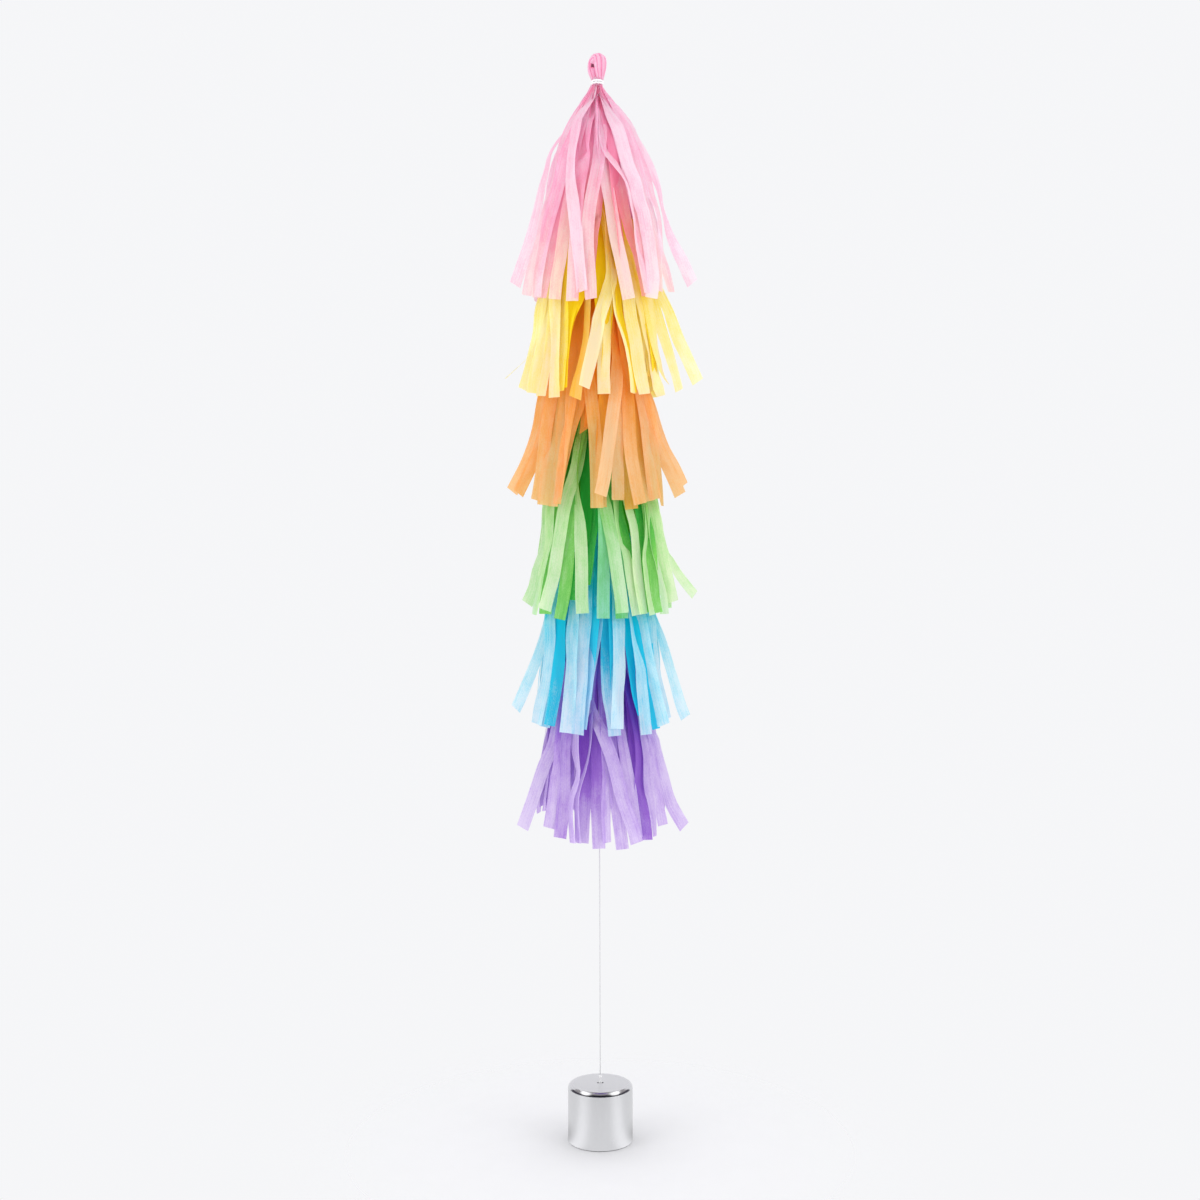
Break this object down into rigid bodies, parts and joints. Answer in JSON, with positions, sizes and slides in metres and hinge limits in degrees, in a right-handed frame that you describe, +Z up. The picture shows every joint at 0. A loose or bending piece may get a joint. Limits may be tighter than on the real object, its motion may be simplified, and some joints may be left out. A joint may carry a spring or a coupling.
{
  "type": "tassel balloon tail",
  "caption": "Tissue-paper tassels in pastel colours hung one below another on a white cord, with a head loop for a balloon and a silver cylinder weight at the end.",
  "frame": {"origin": "middle of the eye in the top tassel's head loop, which the balloon is tied to; the part hangs below it", "axes": "+Z up along the hanging cord; the head loops lie in the XZ plane, with their eyes open along Y; the picture looks at the part from the azimuth 65 degrees, so its left and right are across that line of sight"},
  "size_m": [0.1441, 0.1809, 1.0597],
  "materials": {
    "pink_tissue": "matte",
    "yellow_tissue": "matte",
    "orange_tissue": "matte",
    "green_tissue": "matte",
    "blue_tissue": "matte",
    "purple_tissue": "matte",
    "white_cord": "matte",
    "silver_shell": "satin",
    "cast_block": "matte",
    "base_pad": "matte"
  },
  "bodies": {
    "pink_tassel": {"pink_head": "pink_tissue", "pink_binding": "white_cord", "pink_fringe_outer": "pink_tissue", "pink_fringe_inner": "pink_tissue", "pink_cord": "white_cord"},
    "yellow_tassel": {"yellow_hanger": "white_cord", "yellow_head": "yellow_tissue", "yellow_binding": "white_cord", "yellow_fringe_outer": "yellow_tissue", "yellow_fringe_inner": "yellow_tissue", "yellow_cord": "white_cord"},
    "orange_tassel": {"orange_hanger": "white_cord", "orange_head": "orange_tissue", "orange_binding": "white_cord", "orange_fringe_outer": "orange_tissue", "orange_fringe_inner": "orange_tissue", "orange_cord": "white_cord"},
    "green_tassel": {"green_hanger": "white_cord", "green_head": "green_tissue", "green_binding": "white_cord", "green_fringe_outer": "green_tissue", "green_fringe_inner": "green_tissue", "green_cord": "white_cord"},
    "blue_tassel": {"blue_hanger": "white_cord", "blue_head": "blue_tissue", "blue_binding": "white_cord", "blue_fringe_outer": "blue_tissue", "blue_fringe_inner": "blue_tissue", "blue_cord": "white_cord"},
    "purple_tassel": {"purple_hanger": "white_cord", "purple_head": "purple_tissue", "purple_binding": "white_cord", "purple_fringe_outer": "purple_tissue", "purple_fringe_inner": "purple_tissue"},
    "long_cord": {"weight_cord": "white_cord"},
    "cord_eye": {"weight_cord_eye": "white_cord"},
    "weight": {"weight_shell": "silver_shell", "weight_block": "cast_block", "weight_base_disc": "base_pad"}
  },
  "joints": [
    {"name": "bend_yellow", "type": "hinge", "parent": "pink_tassel", "child": "yellow_tassel", "pos_m": [0, 0, -0.0784], "axis": [0, 1, 0], "range_deg": [-15, 15], "deforming": ["pink_fringe_outer", "pink_fringe_inner"]},
    {"name": "bend_orange", "type": "hinge", "parent": "yellow_tassel", "child": "orange_tassel", "pos_m": [0, 0, -0.1774], "axis": [1, 0, 0], "range_deg": [-15, 15], "deforming": ["yellow_fringe_outer", "yellow_fringe_inner"]},
    {"name": "bend_green", "type": "hinge", "parent": "orange_tassel", "child": "green_tassel", "pos_m": [0, 0, -0.2784], "axis": [0, 1, 0], "range_deg": [-15, 15], "deforming": ["orange_fringe_outer", "orange_fringe_inner"]},
    {"name": "bend_blue", "type": "hinge", "parent": "green_tassel", "child": "blue_tassel", "pos_m": [0, 0, -0.3854], "axis": [1, 0, 0], "range_deg": [-15, 15], "deforming": ["green_fringe_outer", "green_fringe_inner"]},
    {"name": "bend_purple", "type": "hinge", "parent": "blue_tassel", "child": "purple_tassel", "pos_m": [0, 0, -0.4904], "axis": [0, 1, 0], "range_deg": [-15, 15], "deforming": ["blue_fringe_outer", "blue_fringe_inner"]},
    {"name": "cord_swing", "type": "hinge", "parent": "purple_tassel", "child": "long_cord", "pos_m": [0, 0, -0.5278], "axis": [1, 0, 0], "range_deg": [-20, 20], "deforming": ["purple_fringe_outer", "purple_fringe_inner"]},
    {"name": "eye_swing", "type": "hinge", "parent": "long_cord", "child": "cord_eye", "pos_m": [0, 0, -0.9864], "axis": [-0.9063, 0.4226, 0], "range_deg": [-30, 30]},
    {"name": "weight_tilt", "type": "hinge", "parent": "cord_eye", "child": "weight", "pos_m": [0, 0, -0.9923], "axis": [0.4226, 0.9063, 0], "range_deg": [-30, 30]}
  ]
}
